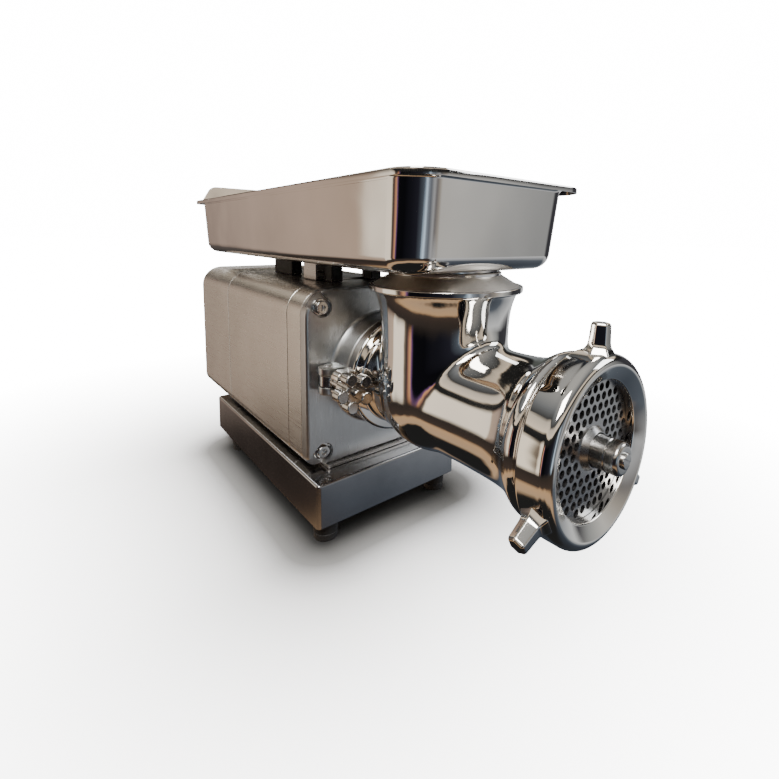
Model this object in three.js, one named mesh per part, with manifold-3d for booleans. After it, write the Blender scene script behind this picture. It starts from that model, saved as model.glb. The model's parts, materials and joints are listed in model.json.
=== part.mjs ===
// Electric meat grinder: a stainless base box on rubber feet carries a brushed motor-and-gearbox body.
// A polished head is clamped to the gearbox by two swing bolts with star knobs, a ring nut holds the
// perforated plate, and a feed tray sits over the chute.
// Millimetres. X is to the right, Y to the back, Z up; the outlet faces -Y. In the machine's own group
// y = 0 is the face of the gearbox cover and z = 0 is the worktop.
import * as THREE from "three";
import { mergeVertices } from "three/addons/utils/BufferGeometryUtils.js";
import Module from "manifold-3d";

const wasm = await Module();
wasm.setup();

// ---------------------------------------------------------------- driving dimensions
const GAP = 0.3; // clearance between pieces that touch

const FOOT = { height: 20, top: 13, bottom: 11.5, inset: 17, rearY: 236 };
const BASE = { width: 179, front: -25.4, length: 308, height: 45, sheet: 2, lip: 36, corner: 4 };
const RISER = { width: 132, front: -3, back: 210, height: 4 };
const BODY = { width: 174, height: 180, corner: 28, foot: 14, wall: 4 };
const COVER_THICK = 12;
const HOUSING_BACK = 43; // visible seam between the gear housing and the motor shell
const SPIGOT_BACK = 78; // the gear housing's spigot inside the motor shell
const SHELL_BACK = 230.6;
const BODY_BACK = 361;
const AXIS_ABOVE_BODY = 92.8; // output axis above the underside of the body

const HUB = { radius: 58.5, front: -25.5, bore: 40.3 };
const SCREW = { inset: 18.3, low: 13.5, pocket: 10, pocketDepth: 7, head: 6.5, shank: 3.8, length: 30 };
const CLAMP = {
  x: 69, pivotY: -11, rod: 4, eye: 9, eyeHalf: 5.5,
  lobe: 6, lobeOut: 13.2, knobFront: -62, knobBack: -51, slack: 0.95,
};

const HEAD = { flangeBack: -25.8, flangeFront: -38, barrel: 50, bore: 43, threadRadius: 58, mouth: -247.2 };
const CHUTE = { y: -100, radius: 57, disc: 68.2, discBottom: 259.5, discTop: 272.5, throat: 46 };
const RING = { radius: 66, back: -233.1, front: -258.1, bore: 48.2, chamfer: 57, lugTip: 86 };
const PLATE = { radius: 50, front: -247.7, back: -237, hole: 2.8, pitch: 7.9, land: 16.5 };
const PIN = { radius: 11.3, front: -272.1, square: 23 };
const KNIFE = { back: -228.4, front: -236.6, reach: 44 };
const AUGER = { radius: 41.5, core: 17, front: -228, back: -56, pitch: 47, journal: 17.2 };

const TRAY = {
  bottom: 275.5, top: 346.3, sheet: 2,
  floorHalf: 87.8, wallHalf: 90.9, rimHalf: 100.2,
  floorFront: -155.6, wallFront: -163.4, rimFront: -177.4,
  floorBack: 322.1, wallBack: 327.8, rimBack: 336.4,
  corner: 25, spout: 44, spoutBore: 41, spoutBottom: 262, seat: 48,
  lipTop: 369, lipHalf: 91, lipTopHalf: 74,
};

// Two gear stages share one centre distance, so the motor shaft lines up with the output shaft.
const STAGE = { distance: 42, direction: (5 * Math.PI) / 4, fast: 1.5, slow: 1.75 };
const TEETH = { motor: 12, idlerLarge: 44, idlerSmall: 13, output: 35 };

// ---------------------------------------------------------------- places worked out from them
const baseBottom = FOOT.height;
const baseTop = baseBottom + BASE.height;
const baseBack = BASE.front + BASE.length;
const bodyBottom = baseTop + RISER.height + GAP;
const bodyTop = bodyBottom + BODY.height;
const bodyMid = (bodyBottom + bodyTop) / 2;
const axisZ = bodyBottom + AXIS_ABOVE_BODY;
const idlerX = STAGE.distance * Math.cos(STAGE.direction);
const idlerZ = axisZ + STAGE.distance * Math.sin(STAGE.direction);
const screwX = BODY.width / 2 - SCREW.inset;
const screwTop = bodyTop - SCREW.inset;
const screwBottom = bodyBottom + SCREW.low;

// ---------------------------------------------------------------- finishes
const finish = (color, metalness, roughness) => new THREE.MeshStandardMaterial({ color, metalness, roughness });
const POLISHED = finish(0xc9c5bd, 1.0, 0.12);
const BRUSHED = finish(0xa9a59c, 1.0, 0.38);
const SATIN = finish(0x8b8d8f, 1.0, 0.42);
const STEEL = finish(0x7f8184, 1.0, 0.35);
const CAST = finish(0x9b9c9d, 0.9, 0.6);
const RUBBER = finish(0x161616, 0.0, 0.85);
const PLASTIC = finish(0x1c1d1f, 0.0, 0.5);
const COPPER = finish(0xa5602f, 0.9, 0.5);
const GREEN = finish(0x1f8a3c, 0.0, 0.4);
const RED = finish(0xb3201c, 0.0, 0.4);

// ---------------------------------------------------------------- geometry helpers
// A geometry as a closed solid with its faces turned outwards.
function solid(geometry) {
  const bare = geometry.index ? geometry.toNonIndexed() : geometry.clone();
  bare.deleteAttribute("normal");
  bare.deleteAttribute("uv");
  const merged = mergeVertices(bare, 1e-4);
  const corners = merged.index.array;
  const kept = [];
  for (let i = 0; i < corners.length; i += 3) {
    const [a, b, c] = corners.slice(i, i + 3);
    if (a !== b && b !== c && a !== c) kept.push(a, b, c);
  }
  const vertProperties = merged.attributes.position.array;
  const made = (order) =>
    new wasm.Manifold(new wasm.Mesh({ numProp: 3, vertProperties, triVerts: new Uint32Array(order) }));
  const first = made(kept);
  return first.volume() > 0 ? first : made(kept.reverse());
}

const joined = (...pieces) => pieces.reduce((whole, piece) => whole.add(piece));
const cut = (whole, ...tools) => tools.reduce((rest, tool) => rest.subtract(tool), whole);

function geometryOf(manifold) {
  const mesh = manifold.getMesh();
  return new THREE.BufferGeometry()
    .setAttribute("position", new THREE.BufferAttribute(new Float32Array(mesh.vertProperties), 3))
    .setIndex(new THREE.BufferAttribute(mesh.triVerts, 1));
}

const unitX = new THREE.Vector3(1, 0, 0);
const unitY = new THREE.Vector3(0, 1, 0);
const unitZ = new THREE.Vector3(0, 0, 1);
const LAY = {
  x: new THREE.Matrix4().makeBasis(unitY, unitZ, unitX),
  y: new THREE.Matrix4().makeBasis(unitX, unitZ, unitY.clone().negate()),
  z: new THREE.Matrix4(),
};

// A flat shape given depth along an axis. The shape's own axes are (y, z), (x, z) or (x, y).
function slab(axis, shape, from, to, curveSegments = 4) {
  const flat = new THREE.ExtrudeGeometry(shape, { depth: to - from, bevelEnabled: false, curveSegments });
  flat.applyMatrix4(LAY[axis]);
  const start = axis === "y" ? to : from;
  flat.translate(...["x", "y", "z"].map((name) => (name === axis ? start : 0)));
  return solid(flat);
}

// A turned piece: the profile's points are [radius, place along the axis].
function turned(axis, profile, across = 0, up = 0, segments = 20) {
  const lathe = new THREE.LatheGeometry(profile.map(([r, h]) => new THREE.Vector2(r, h)), segments);
  if (axis === "x") lathe.rotateZ(-Math.PI / 2).translate(0, across, up);
  if (axis === "y") lathe.translate(across, 0, up);
  if (axis === "z") lathe.rotateX(Math.PI / 2).translate(across, up, 0);
  return solid(lathe);
}

const rod = (axis, radius, from, to, across, up, segments) =>
  turned(axis, [[0, from], [radius, from], [radius, to], [0, to]], across, up, segments);

const ring = (axis, inner, outer, from, to, across, up, segments) =>
  turned(axis, [[inner, from], [outer, from], [outer, to], [inner, to], [inner, from]], across, up, segments);

const block = (x0, x1, y0, y1, z0, z1) =>
  solid(new THREE.BoxGeometry(x1 - x0, y1 - y0, z1 - z0)
    .translate((x0 + x1) / 2, (y0 + y1) / 2, (z0 + z1) / 2));

function roundedRect(x0, x1, y0, y1, radius, low = radius) {
  const shape = new THREE.Shape();
  shape.absarc(x1 - radius, y1 - radius, radius, 0, Math.PI / 2);
  shape.absarc(x0 + radius, y1 - radius, radius, Math.PI / 2, Math.PI);
  shape.absarc(x0 + low, y0 + low, low, Math.PI, 1.5 * Math.PI);
  shape.absarc(x1 - low, y0 + low, low, 1.5 * Math.PI, 2 * Math.PI);
  return shape;
}

const circle = (radius, x = 0, y = 0) => new THREE.Shape().absarc(x, y, radius, 0, 2 * Math.PI);

// The body's section, shrunk on every side. Its lower corners are tighter than its upper ones.
function bodyOutline(shrink = 0) {
  const half = BODY.width / 2 - shrink;
  const low = Math.max(BODY.foot - shrink, 1);
  return roundedRect(-half, half, bodyBottom + shrink, bodyTop - shrink, BODY.corner - shrink, low);
}

const bodySlab = (from, to, shrink = 0) => slab("y", bodyOutline(shrink), from, to);

// ---------------------------------------------------------------- scene
const machine = new THREE.Group();

function add(name, shape, material) {
  const mesh = new THREE.Mesh(geometryOf(shape), material);
  mesh.name = name;
  machine.add(mesh);
}

// ---------------------------------------------------------------- base and feet
function addBase() {
  const half = BASE.width / 2;
  const sheet = BASE.sheet;
  const outline = (shrink) =>
    roundedRect(-half + shrink, half - shrink, BASE.front + shrink, baseBack - shrink, BASE.corner);
  const box = slab("z", outline(0), baseBottom, baseTop, 3);
  const hollow = slab("z", outline(sheet), baseBottom + sheet, baseTop - sheet, 3);
  const window = slab("z", outline(BASE.lip), baseBottom - 1, baseBottom + sheet + 1, 3);
  add("base_box", cut(box, hollow, window), SATIN);

  const footX = half - FOOT.inset;
  const footY = { front: BASE.front + FOOT.inset, rear: FOOT.rearY };
  for (const [end, y] of Object.entries(footY))
    for (const [side, x] of [["left", -footX], ["right", footX]]) {
      const profile = [[0, 0], [FOOT.bottom, 0], [FOOT.top, FOOT.height - GAP], [0, FOOT.height - GAP]];
      add(`foot_${end}_${side}`, turned("z", profile, x, y, 20), RUBBER);
    }

  const riserHalf = RISER.width / 2;
  const riserBottom = baseTop + GAP;
  const riserTop = baseTop + RISER.height;
  add("riser_plate", block(-riserHalf, riserHalf, RISER.front, RISER.back, riserBottom, riserTop), SATIN);

  const gland = [[4, 0], [11, 0], [11, 6], [8, 7], [8, 12], [10, 12.5], [9, 18], [4, 18], [4, 0]];
  const glandProfile = gland.map(([r, y]) => [r, baseBack + GAP + y]);
  add("cable_gland", turned("y", glandProfile, -50, baseBottom + BASE.height / 2, 12), PLASTIC);
}

// ---------------------------------------------------------------- gearbox
const BEARING = {
  front: { bore: 17.8, outer: 36, from: -4, to: 13 },
  rear: { bore: 8.8, outer: 20, from: 38.5, to: 46.7 },
  idler: { bore: 7.8, outer: 17.5 },
  motor: { bore: 8.8, outer: 20 },
};
const MID_PLATE = { from: 38.3, to: 47 };
const BACK_WALL = { from: 70, to: SPIGOT_BACK };

// Teeth as trapezoids, thinner than their gaps, with one tooth centred on the angle `phase`.
function gearShape(teeth, module, phase, bore) {
  const pitch = (teeth * module) / 2;
  const flank = [[pitch - 1.2 * module, -0.56], [pitch + 0.95 * module, -0.2]];
  const outline = [...flank, ...flank.map(([r, share]) => [r, -share]).reverse()];
  const halfStep = Math.PI / teeth;
  const points = [];
  for (let tooth = 0; tooth < teeth; tooth++)
    for (const [r, share] of outline) {
      const angle = phase + (2 * tooth + share) * halfStep;
      points.push(new THREE.Vector2(r * Math.cos(angle), r * Math.sin(angle)));
    }
  const shape = new THREE.Shape(points);
  shape.holes.push(circle(bore));
  return shape;
}

function gear(teeth, module, phase, bore, from, to, x, z) {
  return slab("y", gearShape(teeth, module, phase, bore), from, to, 5).translate([x, 0, z]);
}

function addGearbox() {
  const corners = [[-screwX, screwTop], [screwX, screwTop], [-screwX, screwBottom], [screwX, screwBottom]];

  // Cover plate, head socket and the forks that hold the swing bolts, cast in one piece.
  let cover = joined(
    bodySlab(0, COVER_THICK),
    turned("y", [
      [0, HUB.front], [HUB.radius - 2, HUB.front], [HUB.radius, HUB.front + 2], [HUB.radius, 1], [0, 1],
    ], 0, axisZ, 30),
    rod("y", BEARING.front.outer + 8, COVER_THICK - 1, COVER_THICK + 3, 0, axisZ),
  );
  for (const side of [-1, 1])
    for (const level of [-1, 1]) {
      const [x0, x1] = [52 * side, (CLAMP.x + CLAMP.eye + 1) * side].sort((a, b) => a - b);
      const [z0, z1] = [(CLAMP.eyeHalf + GAP) * level, 13 * level].sort((a, b) => a - b);
      cover = cover.add(block(x0, x1, CLAMP.pivotY - 9, CLAMP.pivotY + 9, axisZ + z0, axisZ + z1));
    }
  cover = cut(
    cover,
    rod("y", HUB.bore, HUB.front - 1, -10, 0, axisZ, 30),
    rod("y", 31, -10.5, -3, 0, axisZ),
    rod("y", BEARING.front.outer + GAP, -4.3, COVER_THICK + 4, 0, axisZ),
    ...[-1, 1].map((side) => rod("z", 4, axisZ - 20, axisZ + 20, side * CLAMP.x, CLAMP.pivotY, 16)),
  );
  for (const [x, z] of corners) {
    const outwardX = x + 9 * Math.sign(x);
    const outwardZ = z + 9 * Math.sign(z - bodyMid);
    cover = cut(
      cover,
      rod("y", SCREW.pocket, -1, SCREW.pocketDepth, x, z, 20),
      rod("y", SCREW.pocket, -1, SCREW.pocketDepth, outwardX, outwardZ, 20),
      rod("y", SCREW.shank + 0.4, 0, COVER_THICK + 1, x, z, 12),
    );
  }
  add("gearbox_cover", cover, SATIN);

  corners.forEach(([x, z], index) => {
    const top = SCREW.pocketDepth - GAP;
    const socket = slab("y", new THREE.Shape(polygon(6, 3.4, x, z)), top - 7, top - 3);
    const screw = joined(
      rod("y", SCREW.head, top - 6.5, top, x, z, 16),
      rod("y", SCREW.shank, top - 1, top + SCREW.length, x, z, 12),
    );
    add(`cover_screw_${index + 1}`, cut(screw, socket), STEEL);
  });

  // Gear housing: visible shell, spigot inside the motor shell and a back wall with two bearing seats.
  const housing = cut(
    joined(bodySlab(COVER_THICK + GAP, HOUSING_BACK), bodySlab(HOUSING_BACK - 1, SPIGOT_BACK, 5)),
    bodySlab(COVER_THICK, BACK_WALL.from, 12),
  );
  const bosses = corners.map(([x, z]) => rod("y", 10, COVER_THICK + GAP, MID_PLATE.from - GAP, x, z, 16));
  const holes = corners.map(([x, z]) => rod("y", SCREW.shank + 0.4, 0, 37.2, x, z, 12));
  add("gear_housing", cut(
    joined(housing, ...bosses.map((boss) => boss.intersect(bodySlab(COVER_THICK + GAP, HOUSING_BACK, 2)))),
    ...holes,
    rod("y", BEARING.motor.outer + GAP, 60, 80, 0, axisZ, 20),
    rod("y", BEARING.idler.outer + GAP, 60, 80, idlerX, idlerZ, 20),
  ), CAST);

  add("bearing_plate", cut(
    bodySlab(MID_PLATE.from, MID_PLATE.to, 12 + GAP),
    rod("y", BEARING.rear.outer + GAP, 30, 50, 0, axisZ, 20),
    rod("y", BEARING.idler.outer + GAP, 30, 50, idlerX, idlerZ, 20),
  ), CAST);

  const front = BEARING.front;
  add("output_seal", ring("y", 17.8, 30.7, -9.7, -4.5, 0, axisZ, 20), RUBBER);
  add("output_front_bearing", ring("y", front.bore, front.outer, front.from, front.to, 0, axisZ, 20), STEEL);
  add("output_rear_bearing", ring("y", BEARING.rear.bore, BEARING.rear.outer, 38.5, 46.8, 0, axisZ, 16), STEEL);
  add("idler_front_bearing", ring("y", 7.8, BEARING.idler.outer, 38.5, 46.8, idlerX, idlerZ, 16), STEEL);
  add("idler_rear_bearing", ring("y", 7.8, BEARING.idler.outer, 67.5, 77.8, idlerX, idlerZ, 16), STEEL);

  // Intermediate shaft, overhung at the front: its small gear drives the output gear.
  const back = STAGE.direction + Math.PI; // from the intermediate shaft towards the centre line
  add("idler_shaft", rod("y", 7.3, 15.6, 77, idlerX, idlerZ, 12), STEEL);
  add("idler_pinion", gear(TEETH.idlerSmall, STAGE.slow, back + Math.PI / TEETH.idlerSmall, 7.8, 17, 36,
    idlerX, idlerZ), STEEL);
  add("idler_gear", gear(TEETH.idlerLarge, STAGE.fast, back, 7.8, 52, 64, idlerX, idlerZ), STEEL);
  add("output_gear", gear(TEETH.output, STAGE.slow, STAGE.direction, 16, 18, 34, 0, axisZ), STEEL);

  const shaftProfile = [[0, -9.8], [17.5, -9.8], [17.5, 15], [15, 15], [15, 37], [8.5, 37], [8.5, 48], [0, 48]];
  const socket = block(-10.3, 10.3, -12, 14, axisZ - 10.3, axisZ + 10.3);
  add("output_shaft", cut(turned("y", shaftProfile, 0, axisZ, 24), socket), STEEL);
}

function polygon(sides, radius, x, y) {
  return Array.from({ length: sides }, (_, i) => {
    const angle = (i * 2 * Math.PI) / sides;
    return new THREE.Vector2(x + radius * Math.cos(angle), y + radius * Math.sin(angle));
  });
}

// ---------------------------------------------------------------- motor
const STATOR = { from: 105, to: 185, bore: 41 };
const END_SHIELD = { from: 203, to: 213 };

function addMotor() {
  const inner = BODY.wall;
  add("motor_shell", cut(
    bodySlab(HOUSING_BACK + GAP, SHELL_BACK - GAP),
    bodySlab(HOUSING_BACK - 1, SHELL_BACK + 1, inner),
  ), BRUSHED);

  add("stator_core", cut(
    bodySlab(STATOR.from, STATOR.to, inner + GAP),
    rod("y", STATOR.bore, 100, 190, 0, axisZ, 24),
  ), STEEL);
  const coil = (from, to) => turned("y", [
    [46, from + 3], [49, from], [65, from], [68, from + 3],
    [68, to - 3], [65, to], [49, to], [46, to - 3], [46, from + 3],
  ], 0, axisZ, 14);
  add("stator_coil_front", coil(89, STATOR.from - GAP), COPPER);
  add("stator_coil_rear", coil(STATOR.to + GAP, 201), COPPER);

  const vents = [45, 135, 225, 315].map((degrees) => {
    const angle = (degrees * Math.PI) / 180;
    return rod("y", 16, 200, 216, 48 * Math.cos(angle), axisZ + 48 * Math.sin(angle), 16);
  });
  add("motor_end_shield", cut(
    bodySlab(END_SHIELD.from, END_SHIELD.to, inner + GAP),
    rod("y", BEARING.motor.outer + GAP, 200, 216, 0, axisZ, 20),
    ...vents,
  ), CAST);
  for (const [name, from, to] of [["front", 67.5, 77.8], ["rear", 203.2, 212.8]]) {
    const { bore, outer } = BEARING.motor;
    add(`motor_${name}_bearing`, ring("y", bore, outer, from, to, 0, axisZ, 16), STEEL);
  }

  // Shaft with the motor pinion cut on its front end.
  const phase = STAGE.direction + Math.PI / TEETH.motor;
  const pinion = new THREE.Shape(gearShape(TEETH.motor, STAGE.fast, phase, 1).getPoints());
  const shaftProfile = [
    [0, 50.5], [6, 50.5], [6, 66], [8.5, 66], [8.5, 84], [12, 84], [12, 200], [8.5, 200], [8.5, 216],
    [7, 216], [7, 242], [0, 242],
  ];
  add("motor_shaft", joined(
    turned("y", shaftProfile, 0, axisZ, 20),
    slab("y", pinion, 52, 64).translate([0, 0, axisZ]),
  ), STEEL);
  add("rotor_core", ring("y", 12.3, STATOR.bore - 0.6, STATOR.from, STATOR.to, 0, axisZ, 24), STEEL);

  const blades = Array.from({ length: 7 }, (_, i) =>
    block(12, 56, 224, 240, -1.2, 1.2).rotate([0, (i * 360) / 7, 0]).translate([0, 0, axisZ]));
  const fan = joined(
    rod("y", 57, 221, 224.5, 0, axisZ, 24),
    rod("y", 14, 221, 240, 0, axisZ, 20),
    ...blades,
  );
  add("cooling_fan", cut(fan, rod("y", 7.3, 215, 245, 0, axisZ, 16)), PLASTIC);
}

// ---------------------------------------------------------------- rear cap, switch and capacitor
const CAP = { round: 13, innerRound: 9, ventHalf: 45, switchY: 300, switchX: 94.6 };

// The body's outline swept back to a rounded rear face.
function roundedBack(from, to, shrink, round) {
  const half = BODY.width / 2 - shrink - round;
  const shape = roundedRect(-half, half, bodyBottom + shrink + round, bodyTop - shrink - round,
    BODY.corner - shrink - round, BODY.foot - shrink - round);
  const swept = new THREE.ExtrudeGeometry(shape, {
    depth: to - from, bevelThickness: round, bevelSize: round, bevelSegments: 2, curveSegments: 4,
  });
  swept.applyMatrix4(LAY.y).translate(0, to - round, 0);
  return solid(swept).intersect(block(-200, 200, from, to + 1, -10, 400));
}

function addRearCap() {
  const from = SHELL_BACK + GAP;
  const vents = Array.from({ length: 7 }, (_, i) => {
    const z = axisZ - 45 + 15 * i;
    return block(-CAP.ventHalf, CAP.ventHalf, BODY_BACK - 12, BODY_BACK + 2, z - 3, z + 3);
  });
  add("rear_cap", cut(
    roundedBack(from, BODY_BACK, 0, CAP.round),
    roundedBack(from - 1, BODY_BACK - BODY.wall, BODY.wall, CAP.innerRound),
    ...vents,
  ), BRUSHED);

  const capacitorZ = bodyBottom + BODY.wall + 21;
  add("run_capacitor", turned("y", [[0, 252], [18, 252], [20, 254], [20, 330], [18, 332], [0, 332]],
    -38, capacitorZ, 20), PLASTIC);

  const side = BODY.width / 2 + GAP;
  const buttons = [["start_button", axisZ + 18, GREEN], ["stop_button", axisZ - 18, RED]];
  const y = CAP.switchY;
  const box = slab("x", roundedRect(y - 22, y + 22, axisZ - 42, axisZ + 42, 8), side, CAP.switchX, 4);
  add("switch_box", cut(box, ...buttons.map(([, z]) => rod("x", 11.3, side + 3, 100, y, z, 24))), PLASTIC);
  for (const [name, z, material] of buttons)
    add(name, turned("x", [[0, 93.4], [11, 93.4], [11, 97.2], [9.5, 98.2], [0, 98.2]], y, z, 24), material);
}

// ---------------------------------------------------------------- head, plate, ring nut
function addHead() {
  const ears = [-1, 1].map((side) => {
    const [x0, x1] = [48 * side, 75 * side].sort((a, b) => a - b);
    const [s0, s1] = [63.5 * side, 80 * side].sort((a, b) => a - b);
    return cut(
      block(x0, x1, HEAD.flangeFront, HEAD.flangeBack, axisZ - 13, axisZ + 13),
      block(s0, s1, HEAD.flangeFront - 1, HEAD.flangeBack + 1, axisZ - 5, axisZ + 5),
    );
  });
  const barrel = turned("y", [
    [0, -10.3], [HUB.bore - GAP, -10.3],
    [HUB.bore - GAP, HEAD.flangeBack], [HUB.radius, HEAD.flangeBack],
    [HUB.radius, HEAD.flangeFront + 2], [HUB.radius - 2, HEAD.flangeFront],
    [50, -42], [48, -50], [HEAD.barrel, -70],
    [49, -170], [52, -212], [60, -224], [63.5, -226], [63.5, -230], [61, -232.8],
    [HEAD.threadRadius, -232.8], [HEAD.threadRadius, HEAD.mouth], [0, HEAD.mouth],
  ], 0, axisZ, 30);
  const chute = turned("z", [
    [0, 113], [24, 117], [42, 127], [53, 141], [CHUTE.radius, 158], [CHUTE.radius - 1, 200],
    [CHUTE.radius, 235], [60, 250], [64, CHUTE.discBottom - 2],
    [CHUTE.disc - 2, CHUTE.discBottom], [CHUTE.disc, CHUTE.discBottom + 2],
    [CHUTE.disc, CHUTE.discTop - 1], [CHUTE.disc - 1, CHUTE.discTop], [0, CHUTE.discTop],
  ], 0, CHUTE.y, 28);
  const plateSeat = PLATE.back + GAP;
  const bores = [
    turned("y", [[0, -230], [HEAD.bore, -230], [HEAD.bore, -54], [0, -54]], 0, axisZ, 24),
    rod("y", PLATE.radius + GAP, HEAD.mouth - 1, plateSeat, 0, axisZ, 30),
    rod("y", 46, plateSeat - 1, -228, 0, axisZ, 24),
    rod("y", AUGER.journal + GAP, -56, 0, 0, axisZ, 24),
    rod("z", CHUTE.throat, axisZ, CHUTE.discTop + 1, 0, CHUTE.y, 28),
    rod("y", 2.8, HEAD.mouth - 1, plateSeat, 0, axisZ - PLATE.radius, 12),
  ];
  add("head_casting", cut(joined(barrel, chute, ...ears), ...bores), POLISHED);
  add("plate_key", rod("y", 2.5, PLATE.front + 1, PLATE.back, 0, axisZ - PLATE.radius, 10), STEEL);

  // Perforated plate: a hexagonal grid of four-sided holes between the centre land and the rim.
  const holes = [];
  const rowHeight = PLATE.pitch * Math.sin(Math.PI / 3);
  for (let row = -7; row <= 7; row++)
    for (let column = -7; column <= 7; column++) {
      const x = (column + (row % 2) / 2) * PLATE.pitch;
      const z = row * rowHeight;
      const r = Math.hypot(x, z);
      if (r > PLATE.land && r < PLATE.radius - 5) holes.push(new THREE.Path(polygon(4, PLATE.hole, x, z)));
    }
  const face = circle(PLATE.radius);
  face.holes.push(circle(PIN.radius + GAP + 0.2), ...holes);
  const notch = rod("y", 2.9, PLATE.front - 1, PLATE.back + 1, 0, axisZ - PLATE.radius, 10);
  const plate = slab("y", face, PLATE.front, PLATE.back, 16).translate([0, 0, axisZ]);
  add("perforated_plate", cut(plate, notch), STEEL);

  // Ring nut with three lugs.
  const { radius, back, front, bore, chamfer } = RING;
  const inside = HEAD.threadRadius + 0.4;
  let nut = turned("y", [
    [inside, back], [radius - 3, back], [radius, back - 3],
    [radius, front + 3], [radius - 3, front], [chamfer, front],
    [bore, front + 4.5], [bore, PLATE.front - GAP], [inside, PLATE.front - GAP], [inside, back],
  ], 0, axisZ, 30);
  for (const degrees of [4, 124, 244]) {
    const lug = turned("z", [
      [0, radius - 4], [10.5, radius - 4], [8, radius + 3], [6.8, RING.lugTip], [0, RING.lugTip],
    ], 0, 0, 6);
    nut = nut.add(lug.rotate([0, degrees, 0]).translate([0, (back + front) / 2, axisZ]));
  }
  add("ring_nut", nut, POLISHED);
}

// ---------------------------------------------------------------- auger, knife and pin
function addAuger() {
  // One flight: the section is a core disc with a sector standing out, turned steadily along the axis.
  const { radius, core, front, back, pitch, journal } = AUGER;
  const section = new THREE.Shape();
  section.absarc(0, 0, radius, -0.55, 0.55);
  section.absarc(0, 0, core, 0.8, 2 * Math.PI - 0.8);
  const length = back - front;
  const steps = Math.round((length / pitch) * 10);
  const flight = new THREE.ExtrudeGeometry(section, {
    depth: length, steps, bevelEnabled: false, curveSegments: 4,
  });
  const place = flight.attributes.position;
  for (let i = 0; i < place.count; i++) {
    const angle = (place.getZ(i) / pitch) * 2 * Math.PI;
    const [x, y] = [place.getX(i), place.getY(i)];
    place.setXY(i, x * Math.cos(angle) - y * Math.sin(angle), x * Math.sin(angle) + y * Math.cos(angle));
  }
  flight.applyMatrix4(LAY.y).translate(0, back, axisZ);
  add("auger", cut(
    joined(
      solid(flight),
      rod("y", journal, back - 4, -22, 0, axisZ, 24),
      block(-10, 10, -23, 13, axisZ - 10, axisZ + 10),
    ),
    rod("y", 10.3, front - 1, front + 20, 0, axisZ, 16),
  ), STEEL);

  const half = PIN.square / 2;
  add("auger_pin", joined(
    turned("y", [
      [0, PIN.front], [9.5, PIN.front], [PIN.radius, PIN.front + 2], [PIN.radius, -236.9], [0, -236.9],
    ], 0, axisZ, 24),
    block(-half, half, -237, -228.3, axisZ - half, axisZ + half).intersect(
      rod("y", 14.5, -237, -228.3, 0, axisZ, 24)),
    rod("y", 10, -229, front + 19, 0, axisZ, 16),
  ), STEEL);

  const arms = [0, 90, 180, 270].map((degrees) =>
    block(10, KNIFE.reach, KNIFE.front, KNIFE.back, -7, 5).rotate([0, degrees, 0]).translate([0, 0, axisZ]));
  const eye = half + GAP;
  add("knife", cut(
    joined(rod("y", 20, KNIFE.front, KNIFE.back, 0, axisZ, 24), ...arms),
    block(-eye, eye, KNIFE.front - 1, KNIFE.back + 1, axisZ - eye, axisZ + eye).intersect(
      rod("y", 14.8, KNIFE.front - 1, KNIFE.back + 1, 0, axisZ, 24)),
  ), STEEL);
}

// ---------------------------------------------------------------- swing bolts and star knobs
const LOBES = 5;
const FIRST_LOBE = 0.68;

function addClamps() {
  const { pivotY, rod: rodRadius, eye, eyeHalf, lobe, lobeOut, knobFront, knobBack, slack } = CLAMP;
  for (const [side, x] of [["left", -CLAMP.x], ["right", CLAMP.x]]) {
    const bolt = joined(
      rod("z", eye, axisZ - eyeHalf, axisZ + eyeHalf, x, pivotY, 20),
      rod("y", rodRadius, knobFront - 3, pivotY, x, axisZ, 12),
    );
    add(`swing_bolt_${side}`, cut(bolt, rod("z", 4, axisZ - 9, axisZ + 9, x, pivotY, 16)), STEEL);
    add(`pivot_pin_${side}`, rod("z", 3.6, axisZ - 14, axisZ + 14, x, pivotY, 12), STEEL);
    const mirror = side === "left" ? 1 : -1;
    const lobes = Array.from({ length: LOBES }, (_, i) => {
      const angle = FIRST_LOBE + (i * 2 * Math.PI) / LOBES;
      const [across, up] = [mirror * lobeOut * Math.cos(angle), lobeOut * Math.sin(angle)];
      return rod("y", lobe, knobFront, knobBack, x + across, axisZ + up, 14);
    });
    const hub = rod("y", 11, knobFront + 1, knobBack, x, axisZ, 20);
    const boss = rod("y", 8, knobBack - 1, HEAD.flangeFront - slack, x, axisZ, 16);
    const thread = rod("y", rodRadius + GAP, knobFront - 2, 0, x, axisZ, 16);
    add(`clamp_knob_${side}`, cut(joined(hub, boss, ...lobes), thread), STEEL);
  }
}

// ---------------------------------------------------------------- tray and its supports
// A rounded rectangle at the floor that widens to another at the top.
function trayBlock(floor, top, z0, z1, radius) {
  const shape = roundedRect(floor.x0, floor.x1, floor.y0, floor.y1, radius);
  const sides = new THREE.ExtrudeGeometry(shape, { depth: z1 - z0, bevelEnabled: false, curveSegments: 4 });
  const place = sides.attributes.position;
  const spread = (value, a0, a1, b0, b1) => b0 + ((value - a0) / (a1 - a0)) * (b1 - b0);
  for (let i = 0; i < place.count; i++) {
    if (place.getZ(i) < (z1 - z0) / 2) continue;
    place.setX(i, spread(place.getX(i), floor.x0, floor.x1, top.x0, top.x1));
    place.setY(i, spread(place.getY(i), floor.y0, floor.y1, top.y0, top.y1));
  }
  return solid(sides.translate(0, 0, z0));
}

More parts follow.
